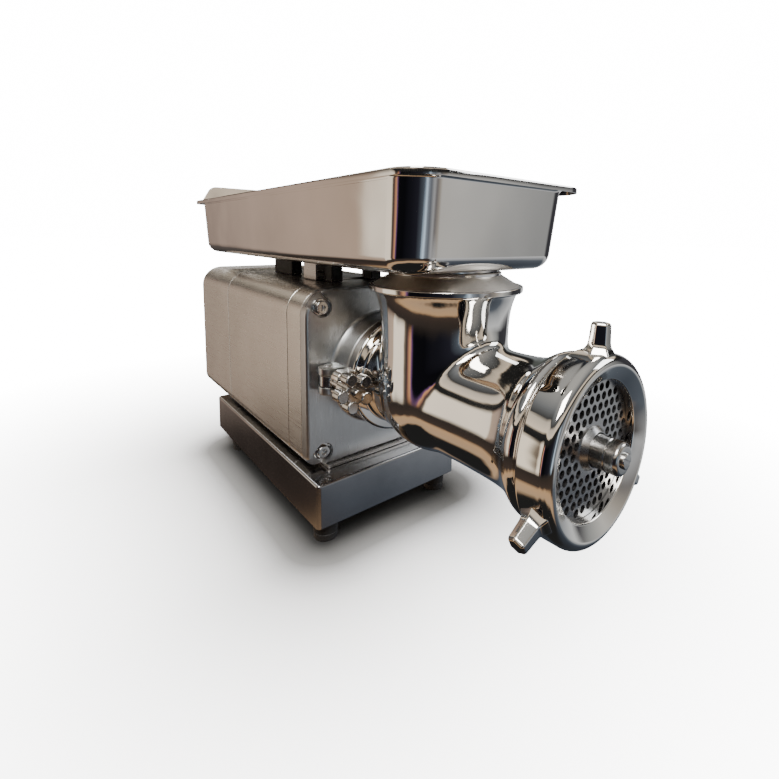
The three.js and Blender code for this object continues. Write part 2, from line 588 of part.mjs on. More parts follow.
function addTray() {
  const { bottom, top, sheet, corner, spout, spoutBore, spoutBottom } = TRAY;
  const floor = { x0: -TRAY.floorHalf, x1: TRAY.floorHalf, y0: TRAY.floorFront, y1: TRAY.floorBack };
  const wall = { x0: -TRAY.wallHalf, x1: TRAY.wallHalf, y0: TRAY.wallFront, y1: TRAY.wallBack };
  const shrunk = ({ x0, x1, y0, y1 }) => ({ x0: x0 + sheet, x1: x1 - sheet, y0: y0 + sheet, y1: y1 - sheet });
  const rim = roundedRect(-TRAY.rimHalf, TRAY.rimHalf, TRAY.rimFront, TRAY.rimBack, corner + 8);
  const outer = trayBlock(floor, wall, bottom, top, corner);
  const inner = trayBlock(shrunk(floor), shrunk(wall), bottom + sheet, top + GAP, corner - sheet);
  const spoutTube = rod("z", spout, spoutBottom, bottom + 1, 0, CHUTE.y, 28);
  const seat = rod("z", TRAY.seat, CHUTE.discTop + GAP, bottom + 1, 0, CHUTE.y, 28);
  const hole = rod("z", spoutBore, spoutBottom - 1, bottom + sheet + 1, 0, CHUTE.y, 28);
  const pan = cut(joined(outer, slab("z", rim, top - 3, top), spoutTube, seat), inner, hole);
  const lipCorners = [
    [-TRAY.lipHalf, top - 2], [TRAY.lipHalf, top - 2],
    [TRAY.lipTopHalf, TRAY.lipTop], [-TRAY.lipTopHalf, TRAY.lipTop],
  ];
  const lipShape = new THREE.Shape(lipCorners.map(([x, z]) => new THREE.Vector2(x, z)));
  add("tray", joined(pan, slab("y", lipShape, TRAY.wallBack, TRAY.wallBack + sheet)), POLISHED);

  const under = bottom - GAP;
  const over = bodyTop + GAP;
  add("tray_bracket", cut(
    block(-41, 41, 69, 99, over, under),
    block(-39, 39, 60, 110, over + 2, under - 2),
  ), SATIN);
  for (const [end, y0, y1] of [["front", 47, 65], ["rear", 149, 203]])
    for (const [side, x] of [["left", -26], ["right", 26]])
      add(`tray_block_${end}_${side}`, block(x - 7, x + 7, y0, y1, over, under), RUBBER);
}

addBase();
addGearbox();
addMotor();
addRearCap();
addHead();
addAuger();
addClamps();
addTray();

// The machine's own group is shifted so that the origin is under the middle of the whole grinder.
machine.position.y = -(PIN.front + BODY_BACK) / 2;
const grinder = new THREE.Group();
grinder.add(machine);

export default grinder;
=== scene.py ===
"""Electric meat grinder: a brushed body on a stainless base, a polished head, ring nut, plate and feed tray.

Lengths are in millimetres, with y counted from the front face of the gearbox cover.
"""
import json
import math

import bmesh
import bpy
from mathutils import Matrix, Vector


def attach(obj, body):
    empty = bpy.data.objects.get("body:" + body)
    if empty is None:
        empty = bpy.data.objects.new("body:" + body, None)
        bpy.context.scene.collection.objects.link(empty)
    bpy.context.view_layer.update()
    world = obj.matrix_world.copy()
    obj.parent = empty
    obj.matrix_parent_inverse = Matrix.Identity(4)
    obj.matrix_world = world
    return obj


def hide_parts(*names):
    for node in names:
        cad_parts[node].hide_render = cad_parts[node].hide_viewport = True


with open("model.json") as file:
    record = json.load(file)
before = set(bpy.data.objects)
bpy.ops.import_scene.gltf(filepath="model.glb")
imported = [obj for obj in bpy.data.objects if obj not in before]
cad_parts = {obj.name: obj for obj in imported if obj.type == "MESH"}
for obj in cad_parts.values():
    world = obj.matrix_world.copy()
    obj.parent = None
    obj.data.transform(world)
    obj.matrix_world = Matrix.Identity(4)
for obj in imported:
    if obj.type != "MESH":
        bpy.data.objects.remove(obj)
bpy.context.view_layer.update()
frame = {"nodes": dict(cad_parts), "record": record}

MM = 0.001
FACE = -44.45  # where the cover's front face stands along the frame's Y
AXIS = 162.1  # height of the auger's axis
NEAR = 0.1  # how close an edge has to lie to a face to count as its edge
BODY = {"half": 87.0, "low": 69.3, "high": 249.3, "corner": 28.0, "foot": 14.0}
BODY_MID = (BODY["low"] + BODY["high"]) / 2
UNIT = {"x": Vector((1, 0, 0)), "y": Vector((0, 1, 0)), "z": Vector((0, 0, 1))}
FULL_TURN = 2 * math.pi


def place(x, y, z):
    return Vector((x, y + FACE, z)) * MM


# ---------------------------------------------------------------- bench tools
def clear():
    bpy.ops.object.select_all(action="DESELECT")


def take(*objects):
    clear()
    for obj in objects:
        obj.select_set(True)
    bpy.context.view_layer.objects.active = objects[0]


def editing(obj):
    take(obj)
    bpy.ops.object.mode_set(mode="EDIT")
    return bmesh.from_edit_mesh(obj.data)


def done():
    bpy.ops.object.mode_set(mode="OBJECT")


def settled(name):
    bpy.ops.object.transform_apply(location=True, rotation=True, scale=True)
    obj = bpy.context.active_object
    obj.name = name
    return obj


def brick(name, low, high):
    a, b = place(*low), place(*high)
    clear()
    bpy.ops.mesh.primitive_cube_add(size=1, location=(a + b) / 2, scale=b - a)
    return settled(name)


def pick_edges(obj, test):
    """Opens edit mode with the edges selected whose two ends, in machine millimetres, pass the test."""
    mesh = editing(obj)
    bpy.ops.mesh.select_mode(type="EDGE")
    bpy.ops.mesh.select_all(action="DESELECT")
    for edge in mesh.edges:
        a, b = [v.co / MM - Vector((0, FACE, 0)) for v in edge.verts]
        edge.select = test(a, b)
    bmesh.update_edit_mesh(obj.data)


def along(axis):
    """A test that an edge runs along the axis."""
    i = "xyz".index(axis)
    return lambda a, b: abs(a[i] - b[i]) > 0.9 * (a - b).length


def bevel_edges(obj, test, width, segments):
    pick_edges(obj, test)
    bpy.ops.mesh.bevel(offset=width * MM, segments=segments, affect="EDGES", clamp_overlap=False)
    done()
    return obj


def eased(obj, width, segments=3, angle=32):
    """Rounds every sharp edge."""
    take(obj)
    bevel = obj.modifiers.new("edge", "BEVEL")
    bevel.width = width * MM
    bevel.segments = segments
    bevel.limit_method = "ANGLE"
    bevel.angle_limit = math.radians(angle)
    bpy.ops.object.modifier_apply(modifier=bevel.name)
    return obj


def boolean(obj, tool, operation):
    take(obj)
    modifier = obj.modifiers.new(operation.lower(), "BOOLEAN")
    modifier.operation = operation
    modifier.object = tool
    modifier.solver = "EXACT"
    bpy.ops.object.modifier_apply(modifier=modifier.name)
    bpy.data.objects.remove(tool)


def cut(obj, *tools):
    for tool in tools:
        boolean(obj, tool, "DIFFERENCE")
    return obj


def fused(obj, *others):
    for other in others:
        boolean(obj, other, "UNION")
    return obj


def joined(name, *objects):
    take(*objects)
    bpy.ops.object.join()
    bpy.context.active_object.name = name
    return bpy.context.active_object


def copied(obj, name):
    twin = obj.copy()
    twin.data = obj.data.copy()
    twin.name = name
    bpy.context.scene.collection.objects.link(twin)
    return twin


def moved(obj, x=0, y=0, z=0):
    take(obj)
    obj.location = Vector((x, y, z)) * MM
    return settled(obj.name)


def rolled(obj, degrees, x=0, z=AXIS):
    """Turns a piece about a line along Y."""
    take(obj)
    centre = Vector((x, 0, z)) * MM
    turn = Matrix.Rotation(math.radians(degrees), 4, "Y")
    obj.matrix_world = Matrix.Translation(centre) @ turn @ Matrix.Translation(-centre)
    return settled(obj.name)


def flipped(obj, name):
    """A mirror copy on the other side of the middle plane."""
    twin = copied(obj, name)
    take(twin)
    twin.scale = (-1, 1, 1)
    settled(name)
    editing(twin)
    bpy.ops.mesh.select_all(action="SELECT")
    bpy.ops.mesh.normals_make_consistent(inside=False)
    done()
    return twin


def spot(axis, across, up):
    """Turns a radius and a place along the axis into a point."""
    return {
        "x": lambda r, h: place(h, across + r, up),
        "y": lambda r, h: place(across + r, h, up),
        "z": lambda r, h: place(across + r, up, h),
    }[axis]


def turned(name, profile, axis="y", across=0.0, up=AXIS, steps=96):
    """A turned piece. The profile is (radius, place along the axis); across and up place the axis."""
    at = spot(axis, across, up)
    points = [at(r, h) for r, h in profile]
    clear()
    bpy.ops.mesh.primitive_plane_add(size=MM, location=points[0])
    obj = settled(name)
    editing(obj)
    bpy.ops.mesh.select_mode(type="VERT")
    bpy.ops.mesh.select_all(action="SELECT")
    bpy.ops.mesh.merge(type="CENTER")
    for a, b in zip(points, points[1:]):
        bpy.ops.mesh.extrude_region_move(TRANSFORM_OT_translate={"value": b - a})
    bpy.ops.mesh.select_all(action="SELECT")
    bpy.ops.mesh.spin(steps=steps, angle=FULL_TURN, center=at(0, 0), axis=UNIT[axis])
    bpy.ops.mesh.select_all(action="SELECT")
    bpy.ops.mesh.remove_doubles(threshold=0.002 * MM)
    bpy.ops.mesh.select_all(action="SELECT")
    bpy.ops.mesh.normals_make_consistent(inside=False)
    done()
    return obj


def rod(name, radius, start, end, axis="y", across=0.0, up=AXIS, steps=48):
    return turned(name, [(0, start), (radius, start), (radius, end), (0, end)], axis, across, up, steps)


def arc(cx, cy, radius, start, end, steps=6):
    """Points of an arc for a profile; angles in degrees."""
    turns = [math.radians(start + (end - start) * i / steps) for i in range(steps + 1)]
    return [(cx + radius * math.cos(t), cy + radius * math.sin(t)) for t in turns]


def fitted(obj, body, nodes, material, smooth=38):
    """Gives a piece its finish, and fixes it to the part of the machine that it belongs to."""
    take(obj)
    bpy.ops.object.shade_smooth_by_angle(angle=math.radians(smooth))
    flats = obj.modifiers.new("flats", "WEIGHTED_NORMAL")
    flats.keep_sharp = True
    bpy.ops.object.modifier_apply(modifier=flats.name)
    obj.data.materials.clear()
    obj.data.materials.append(material)
    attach(obj, body)
    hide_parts(*nodes)


# ---------------------------------------------------------------- finishes
def material_of(name, color, metallic, roughness):
    made = bpy.data.materials.new(name)
    made.use_nodes = True
    shader = made.node_tree.nodes["Principled BSDF"]
    shader.inputs["Base Color"].default_value = (*color, 1)
    shader.inputs["Metallic"].default_value = metallic
    shader.inputs["Roughness"].default_value = roughness
    return made, made.node_tree, shader


def node(tree, kind, **values):
    """A shader node with its settings and unlinked inputs given by name."""
    made = tree.nodes.new(kind)
    for key, value in values.items():
        if hasattr(made, key):
            setattr(made, key, value)
        else:
            made.inputs[key].default_value = value
    return made


def pattern(tree, stretch=(1, 1, 1), scale=100.0, detail=4.0):
    """Noise on the piece's own coordinates, stretched along an axis."""
    coordinates = node(tree, "ShaderNodeTexCoord")
    mapping = node(tree, "ShaderNodeMapping", Scale=stretch)
    noise = node(tree, "ShaderNodeTexNoise", Scale=scale, Detail=detail)
    tree.links.new(coordinates.outputs["Object"], mapping.inputs["Vector"])
    tree.links.new(mapping.outputs["Vector"], noise.inputs["Vector"])
    return noise.outputs["Fac"]


def ramp(tree, factor, low, high, start=0.3, end=0.7):
    """A value that goes from low to high while the factor goes from start to end."""
    made = node(tree, "ShaderNodeMapRange")
    made.inputs["From Min"].default_value = start
    made.inputs["From Max"].default_value = end
    made.inputs["To Min"].default_value = low
    made.inputs["To Max"].default_value = high
    tree.links.new(factor, made.inputs["Value"])
    return made.outputs["Result"]


def blended(tree, factor, first, second, start=0.3, end=0.7):
    """A colour between two others."""
    made = node(tree, "ShaderNodeValToRGB")
    made.color_ramp.elements[0].position = start
    made.color_ramp.elements[0].color = (*first, 1)
    made.color_ramp.elements[1].position = end
    made.color_ramp.elements[1].color = (*second, 1)
    tree.links.new(factor, made.inputs["Fac"])
    return made.outputs["Color"]


def bumped(tree, shader, *layers):
    """Bumps one over the other: (height, distance in mm, strength)."""
    last = None
    for height, distance, strength in layers:
        bump = node(tree, "ShaderNodeBump", Distance=distance * MM, Strength=strength)
        tree.links.new(height, bump.inputs["Height"])
        if last:
            tree.links.new(last, bump.inputs["Normal"])
        last = bump.outputs["Normal"]
    tree.links.new(last, shader.inputs["Normal"])


def polished(name, color, shade, roughness, wave=0.5):
    """Mirror-polished steel: slight waviness, smears of wiping and fine hairline scratches."""
    made, tree, shader = material_of(name, color, 1.0, roughness)
    clouds = pattern(tree, scale=9, detail=3)
    tree.links.new(blended(tree, clouds, shade, color), shader.inputs["Base Color"])
    smears = pattern(tree, stretch=(1, 0.5, 1), scale=22, detail=6)
    wiped = ramp(tree, smears, roughness * 0.7, roughness * 2.2, 0.42, 0.72)
    tree.links.new(wiped, shader.inputs["Roughness"])
    waves = pattern(tree, scale=16, detail=1)
    hairs = pattern(tree, stretch=(1, 0.06, 1), scale=900, detail=2)
    bumped(tree, shader, (waves, 1.2, wave), (hairs, 0.02, 0.25))
    return made


def satin_above(made, height, roughness, color):
    """Leaves the upward faces above the given height as they came from the lathe, unpolished."""
    tree = made.node_tree
    shader = tree.nodes["Principled BSDF"]
    here = node(tree, "ShaderNodeTexCoord")
    place_of, facing = node(tree, "ShaderNodeSeparateXYZ"), node(tree, "ShaderNodeSeparateXYZ")
    tree.links.new(here.outputs["Object"], place_of.inputs[0])
    tree.links.new(here.outputs["Normal"], facing.inputs[0])
    high = ramp(tree, place_of.outputs["Z"], 0, 1, height, height + MM)
    upward = ramp(tree, facing.outputs["Z"], 0, 1, 0.4, 0.6)
    share = node(tree, "ShaderNodeMath", operation="MULTIPLY")
    tree.links.new(high, share.inputs[0])
    tree.links.new(upward, share.inputs[1])
    for socket, value in (("Roughness", roughness), ("Base Color", (*color, 1))):
        before = shader.inputs[socket].links[0].from_socket
        kind, a, b, out = ("FLOAT", 2, 3, 0) if socket == "Roughness" else ("RGBA", 6, 7, 2)
        mix = node(tree, "ShaderNodeMix", data_type=kind)
        tree.links.new(share.outputs[0], mix.inputs[0])
        tree.links.new(before, mix.inputs[a])
        mix.inputs[b].default_value = value
        tree.links.new(mix.outputs[out], shader.inputs[socket])
    return made


def brushed(name, color, shade, roughness, stretch=(1, 0.02, 1), depth=0.05):
    """Steel brushed one way, with uneven sheen and scratches."""
    made, tree, shader = material_of(name, color, 1.0, roughness)
    stains = pattern(tree, scale=11, detail=5)
    tree.links.new(blended(tree, stains, shade, color), shader.inputs["Base Color"])
    lines = pattern(tree, stretch=stretch, scale=1500, detail=3)
    tree.links.new(ramp(tree, lines, roughness * 0.85, roughness * 1.15), shader.inputs["Roughness"])
    coarse = pattern(tree, stretch=stretch, scale=420, detail=2)
    bumped(tree, shader, (lines, depth, 0.35), (coarse, depth, 0.2))
    return made


def moulded(name, color, roughness, grain=1800.0, depth=0.05):
    """Plastic or rubber with a fine moulded grain."""
    made, tree, shader = material_of(name, color, 0.0, roughness)
    light = tuple(min(1.0, c * 1.7 + 0.004) for c in color)
    dust = pattern(tree, scale=30, detail=5)
    tree.links.new(blended(tree, dust, color, light), shader.inputs["Base Color"])
    speckle = pattern(tree, scale=grain, detail=2)
    tree.links.new(ramp(tree, speckle, roughness * 0.85, roughness * 1.15), shader.inputs["Roughness"])
    bumped(tree, shader, (speckle, depth, 0.5))
    return made


def cast_metal(name, color, shade, roughness):
    """A sand-cast surface with fine pits."""
    made, tree, shader = material_of(name, color, 1.0, roughness)
    mottle = pattern(tree, scale=40, detail=6)
    tree.links.new(blended(tree, mottle, shade, color), shader.inputs["Base Color"])
    pits = pattern(tree, scale=700, detail=4)
    tree.links.new(ramp(tree, pits, roughness * 0.8, roughness * 1.2), shader.inputs["Roughness"])
    bumped(tree, shader, (pits, 0.15, 0.5))
    return made


def layered(name, color, shade, axis_stretch, scale, roughness):
    """Stacked sheets or wound wire: fine ridges one way."""
    made, tree, shader = material_of(name, color, 0.9, roughness)
    ridges = pattern(tree, stretch=axis_stretch, scale=scale, detail=1)
    tree.links.new(blended(tree, ridges, shade, color, 0.4, 0.6), shader.inputs["Base Color"])
    bumped(tree, shader, (ridges, 0.3, 0.7))
    return made


FINISH = {
    "head": polished("polished_casting", (0.82, 0.80, 0.77), (0.70, 0.68, 0.65), 0.05, 0.6),
    "ring": polished("polished_ring", (0.84, 0.82, 0.78), (0.74, 0.72, 0.68), 0.055, 0.35),
    "tray": polished("polished_sheet", (0.78, 0.76, 0.74), (0.66, 0.64, 0.62), 0.06, 0.5),
    "body": brushed("brushed_body", (0.80, 0.78, 0.74), (0.68, 0.66, 0.62), 0.30, (1, 0.02, 1), 0.02),
    "cover": brushed("satin_cover", (0.56, 0.57, 0.57), (0.46, 0.47, 0.48), 0.32, (1, 1, 0.03), 0.03),
    "base": brushed("satin_base", (0.46, 0.46, 0.47), (0.30, 0.30, 0.31), 0.17, (0.2, 0.2, 1), 0.02),
    "bracket": brushed("bracket_sheet", (0.55, 0.54, 0.53), (0.45, 0.44, 0.43), 0.30, (1, 0.05, 1), 0.03),
    "turned": brushed("turned_steel", (0.58, 0.57, 0.55), (0.47, 0.46, 0.45), 0.20, (0.05, 1, 0.05), 0.02),
    "plate": brushed("ground_plate", (0.42, 0.42, 0.42), (0.33, 0.33, 0.34), 0.30, (0.04, 1, 1), 0.02),
    "casting": cast_metal("cast_aluminium", (0.60, 0.60, 0.60), (0.48, 0.48, 0.49), 0.5),
    "laminations": layered("stacked_sheets", (0.34, 0.34, 0.36), (0.20, 0.20, 0.22), (0.01, 1, 0.01), 900,
                           0.45),
    "winding": layered("copper_winding", (0.62, 0.30, 0.15), (0.40, 0.17, 0.08), (1, 1, 0.2), 500, 0.35),
    "rubber": moulded("black_rubber", (0.012, 0.012, 0.012), 0.62, 900, 0.1),
    "plastic": moulded("black_plastic", (0.016, 0.016, 0.018), 0.42),
    "green": moulded("green_button", (0.015, 0.22, 0.05), 0.28, 2400, 0.02),
    "red": moulded("red_button", (0.42, 0.012, 0.010), 0.28, 2400, 0.02),
}
SLOT_FINISH = {
    "polished_steel": "head", "brushed_steel": "body", "satin_steel": "base", "machine_steel": "turned",
    "tool_steel": "plate", "cast_aluminium": "casting", "lamination_steel": "laminations",
    "copper_winding": "winding", "black_rubber": "rubber", "black_plastic": "plastic",
    "green_plastic": "green", "red_plastic": "red",
}


# ---------------------------------------------------------------- body
COVER_BACK = 12
HOUSING = (12.3, 43)
SHELL = (43.3, 230.3)
CAP = {"front": 230.9, "back": 361, "round": 13}
WALL = 4
VENTS = {"count": 7, "pitch": 15, "lowest": -45, "half": 45, "rise": 3, "round": 2.9}


def body_block(name, start, end, shrink=0.0, edge=1.2):
    """A length of the body's rounded square section."""
    half = BODY["half"] - shrink
    block = brick(name, (-half, start, BODY["low"] + shrink), (half, end, BODY["high"] - shrink))
    lengthwise = along("y")
    bevel_edges(block, lambda a, b: lengthwise(a, b) and a.z > BODY_MID, BODY["corner"] - shrink, 14)
    bevel_edges(block, lambda a, b: lengthwise(a, b) and a.z < BODY_MID - 60, BODY["foot"] - shrink, 8)
    return eased(block, edge) if edge else block


def make_housing():
    block = body_block("housing_block", *HOUSING, edge=1.0)
    fitted(block, "frame", ["gear_housing"], FINISH["body"])


def make_motor_shell():
    shell = body_block("motor_barrel", *SHELL, edge=1.6)
    cut(shell, body_block("shell_inside", 40, 235, WALL, 0))
    fitted(shell, "frame", ["motor_shell"], FINISH["body"])


def make_rear_cap():
    cap = body_block("motor_rear_cap", CAP["front"], CAP["back"], edge=0)
    bevel_edges(cap, lambda a, b: min(a.y, b.y) > CAP["back"] - NEAR, CAP["round"], 6)
    inside_back = CAP["back"] - WALL
    inside = body_block("cap_inside", 225, inside_back, WALL, 0)
    bevel_edges(inside, lambda a, b: min(a.y, b.y) > inside_back - NEAR, CAP["round"] - WALL, 4)
    cut(cap, inside)
    slots = []
    for i in range(VENTS["count"]):
        z = AXIS + VENTS["lowest"] + VENTS["pitch"] * i
        low, high = z - VENTS["rise"], z + VENTS["rise"]
        slot = brick("vent", (-VENTS["half"], 340, low), (VENTS["half"], 365, high))
        slots.append(bevel_edges(slot, along("y"), VENTS["round"], 5))
    cut(cap, joined("vents", *slots))
    eased(cap, 0.8, 2)
    fitted(cap, "frame", ["rear_cap"], FINISH["body"])


SCREW = {"x": 68.7, "below_top": 18.3, "above_foot": 13.5}
SCREW_PLACES = [(-1, 1), (1, 1), (-1, -1), (1, -1)]
CHANNEL_TURN = {(1, 1): -45, (-1, 1): -135, (1, -1): 45, (-1, -1): 135}  # towards the plate's corner
POCKET = {"radius": 10, "floor": 7, "reach": 26}
FORK = {"inner": 50, "outer": 79, "low": 5.8, "high": 13, "front": -20, "root": -2}


def screw_place(side, level):
    z = BODY["high"] - SCREW["below_top"] if level > 0 else BODY["low"] + SCREW["above_foot"]
    return side * SCREW["x"], z


def make_cover():
    plate = body_block("cover_plate", 0, COVER_BACK, edge=0)
    bevel_edges(plate, lambda a, b: max(a.y, b.y) < NEAR, 3.0, 5)
    radius, floor = POCKET["radius"], POCKET["floor"]
    for side, level in SCREW_PLACES:
        x, z = screw_place(side, level)
        round_pocket = rod("pocket", radius, -1, floor, across=x, up=z)
        channel = brick("channel", (x, -1, z - radius), (x + POCKET["reach"], floor, z + radius))
        rolled(channel, CHANNEL_TURN[side, level], x, z)
        cut(plate, round_pocket, channel)
    hub = turned("hub", [(0, -25.5), (56.9, -25.5), *arc(56.9, -23.9, 1.6, -90, 0, 4),
                         (58.5, -6), *arc(62.5, -4, 4, 180, 90, 5), (62.5, 3), (0, 3)], steps=128)
    fused(plate, hub)
    for side in (-1, 1):
        for level in (-1, 1):
            outer = FORK["outer"] * side
            x = sorted((FORK["inner"] * side, outer))
            z = sorted((FORK["low"] * level, FORK["high"] * level))
            fork = brick("fork", (x[0], FORK["front"], AXIS + z[0]), (x[1], FORK["root"], AXIS + z[1]))
            bevel_edges(fork, lambda a, b: along("z")(a, b) and abs(a.x - outer) < NEAR, 8, 6)
            fused(plate, eased(fork, 0.8, 2))
    cut(plate, rod("socket_bore", 40.3, -30, -10, steps=96))
    eased(plate, 0.7, 2)
    fitted(plate, "frame", ["gearbox_cover"], FINISH["cover"])


def make_cover_screws():
    head = turned("screw", [(0, 0.2), (5.6, 0.2), *arc(5.6, 1.1, 0.9, -90, 0, 4), (6.5, 6.2), (0, 6.2)],
                  up=0, steps=48)
    socket = turned("hexagon", [(0, -1), (3.3, -1), (3.3, 3.6), (0, 4.4)], up=0, steps=6)
    cut(head, socket)
    washer = turned("washer", [(0, 5.4), (8.2, 5.4), (8.6, 5.8), (8.6, 6.7), (0, 6.7)], up=0, steps=48)
    fused(head, washer)
    eased(head, 0.25, 2)
    for index, (side, level) in enumerate(SCREW_PLACES):
        x, z = screw_place(side, level)
        screw = moved(copied(head, f"socket_screw_{index + 1}"), x, 0, z)
        fitted(screw, "frame", [f"cover_screw_{index + 1}"], FINISH["turned"])
    bpy.data.objects.remove(head)


# ---------------------------------------------------------------- base and feet
BASE = {"half": 89.5, "front": -25.4, "back": 282.6, "low": 20, "high": 65, "sheet": 2}
WINDOW = {"half": 53.5, "front": 10.6, "back": 246.6}
RISER = {"half": 66, "front": -3, "back": 210, "low": 65.3, "high": 69}
FOOT = {"x": 72.5, "front": -8.4, "rear": 236.0}


def make_base():
    half, front, back, low, high, sheet = BASE.values()
    box = brick("base_pan", (-half, front, low), (half, back, high))
    bevel_edges(box, along("z"), 4, 6)
    bevel_edges(box, lambda a, b: min(a.z, b.z) > high - NEAR, 2.5, 5)
    hollow = brick("hollow", (sheet - half, front + sheet, low + sheet),
                   (half - sheet, back - sheet, high - sheet))
    bevel_edges(hollow, along("z"), 3, 4)
    window = brick("window", (-WINDOW["half"], WINDOW["front"], 15), (WINDOW["half"], WINDOW["back"], 25))
    bevel_edges(window, along("z"), 6, 5)
    cut(box, hollow, window)
    eased(box, 0.5, 2)
    fitted(box, "frame", ["base_box"], FINISH["base"])

    half, front, back, low, high = RISER.values()
    riser = brick("riser", (-half, front, low), (half, back, high))
    bevel_edges(riser, along("z"), 3, 4)
    eased(riser, 0.6, 2)
    fitted(riser, "frame", ["riser_plate"], FINISH["bracket"])


def make_feet():
    profile = [(0, 0.6), (7, 0.6), (7.6, 0), (10.6, 0), *arc(10.6, 1, 1, -90, 0, 4), (11.9, 6), (12.0, 6.5),
               (11.4, 7), (11.4, 8), (12.1, 8.5), (13, 18.2), *arc(12.0, 18.7, 1, 0, 90, 4), (0, 19.7)]
    for end in ("front", "rear"):
        for side, x in (("left", -FOOT["x"]), ("right", FOOT["x"])):
            foot = turned(f"rubber_foot_{end}_{side}", profile, "z", x, FOOT[end], 48)
            fitted(foot, "frame", [f"foot_{end}_{side}"], FINISH["rubber"])


# ---------------------------------------------------------------- head
CHUTE_Y = -100.0
CHUTE_TOP = 258.2
CHUTE = [(0, 109.5), (16, 110.5), (30, 115), (43, 124.5), (51, 135), (56, 147), (58, 160), (57.4, 180),
         (57, 200), (57.2, 220), (58, 235), (59.6, 244), (62.4, 252), (66, CHUTE_TOP)]
BARREL_END = -231
BARREL = [(48.5, -44), (49, -52), (50.4, -64), (51, -78), (50.6, -120), (50.2, -160), (50.6, -186),
          (51.6, -200), (53.2, -207), (56.0, -213), (59.5, -217.5), (62.0, -221), (63.4, -225.0),
          (63.4, -227.5), (60, BARREL_END)]
EAR = {"inner": 48, "outer": 75, "half": 13, "front": -38, "back": -25.8}
SLOT = {"inner": 63.5, "outer": 80, "half": 5}
DISC_TOP = 259.7  # the disc's lathe-turned top starts above this
CORE_VOXEL = 2.1
POLISHING_PASSES = 80


def make_ear(side):
    """A forked ear beside the flange, which a swing bolt drops into."""
    outer, inner = EAR["outer"] * side, SLOT["inner"] * side
    x = sorted((EAR["inner"] * side, outer))
    half = EAR["half"]
    ear = brick("ear", (x[0], EAR["front"], AXIS - half), (x[1], EAR["back"], AXIS + half))
    bevel_edges(ear, lambda a, b: along("y")(a, b) and abs(a.x - outer) < NEAR, 6, 5)
    x = sorted((inner, SLOT["outer"] * side))
    half = SLOT["half"]
    slot = brick("slot", (x[0], -40, AXIS - half), (x[1], -20, AXIS + half))
    bevel_edges(slot, lambda a, b: along("y")(a, b) and abs(a.x - inner) < NEAR, 4.9, 6)
    return eased(cut(ear, slot), 1.0, 3)


def make_head():
    barrel = turned("head_barrel", [(0, -34), (47.5, -34), *BARREL, (0, BARREL_END)], steps=96)
    chute = turned("head_chute", [*CHUTE, (0, CHUTE_TOP)], "z", 0, CHUTE_Y, 96)
    head = joined("grinding_head", barrel, chute)
    head.data.remesh_voxel_size = CORE_VOXEL * MM
    take(head)
    bpy.ops.object.voxel_remesh()
    smooth = head.modifiers.new("polish", "SMOOTH")
    smooth.factor = 0.5
    smooth.iterations = POLISHING_PASSES
    bpy.ops.object.modifier_apply(modifier=smooth.name)

    flange = turned("flange", [
        (0, -10.3), (39.2, -10.3), (40, -11.1), (40, -25.8), *arc(56.7, -27.6, 1.8, 90, 0, 4),
        *arc(55.9, -35.4, 2.6, 0, -90, 5), *arc(50.2, -42.4, 4.4, 90, 180, 5), (0, -44)], steps=128)
    for side in (-1, 1):
        fused(flange, make_ear(side))
    collar = turned("collar", [
        (0, -221), (50, -221), (56, -224), (59.0, -228), (60.2, -230.2), (60.2, -232.8),
        (58, -232.8), (58, -247.2), (0, -247.2)], steps=128)
    disc = turned("disc", [
        (0, 250), (55, 250), (62, 254.2), *arc(66.6, 256.6, 1.6, -70, 0, 4), (68.2, 259.4),
        *arc(67.2, 259.4, 1.0, 0, 90, 4), (65.6, 260.2), (64.4, 260.6), (49, 269.8),
        *arc(47.8, 270.7, 1.8, 30, 90, 4), (0, 272.5)], "z", 0, CHUTE_Y, 128)
    fused(head, flange, collar, disc)
    cut(head,
        turned("barrel_bore", [(0, -260), (43, -260), (43, -54), (17.5, -52), (17.5, 0), (0, 0)], steps=72),
        turned("plate_seat", [(0, -260), (50.3, -260), (50.3, -236.7), (46, -236.7), (46, -228), (0, -228)]),
        turned("throat", [(0, AXIS), (46, AXIS), (46, 280), (0, 280)], "z", 0, CHUTE_Y, 96),
        rod("key_way", 2.8, -250, -236.7, across=0, up=AXIS - 50, steps=24))
    finish = satin_above(FINISH["head"], DISC_TOP * MM, 0.42, (0.62, 0.59, 0.55))
    fitted(head, "frame", ["head_casting"], finish, 30)


# ---------------------------------------------------------------- ring nut, plate and pin
LUG_Y = -245.6
LUG_TURNS = (4, 124, 244)
HOLES = {"radius": 2.95, "pitch": 7.9, "land": 16.5, "rim": 45.2}
PIN_SLOT_TURN = 30


def make_ring_nut():
    ring = turned("lugged_ring", [
        (58.4, -233.1), (63.4, -233.1), *arc(63.4, -235.7, 2.6, 90, 0, 6), (66, -242), (65.8, -248.4),
        *arc(58.6, -250.9, 7.2, 8, -84, 12), (57.4, -257.7), (49.4, -253.5),
        *arc(49.6, -252.2, 1.4, -115, -180, 5), (48.2, -248), (58.4, -248), (58.4, -233.1)], steps=144)
    lug = turned("lug", [(0, 60), (12.4, 60), (11.2, 64.6), (9.6, 67.2), (8.2, 69.2), (7.5, 72), (6.7, 84.2),
                         (5.6, 85.6), (0, 86)], "z", 0, 0, 6)
    eased(lug, 1.1, 3, 25)
    for degrees in LUG_TURNS:
        handle = moved(copied(lug, "handle"), 0, LUG_Y, AXIS)
        rolled(handle, degrees)
        fused(ring, handle)
    bpy.data.objects.remove(lug)
    fitted(ring, "ring_nut", ["ring_nut"], FINISH["ring"], 30)


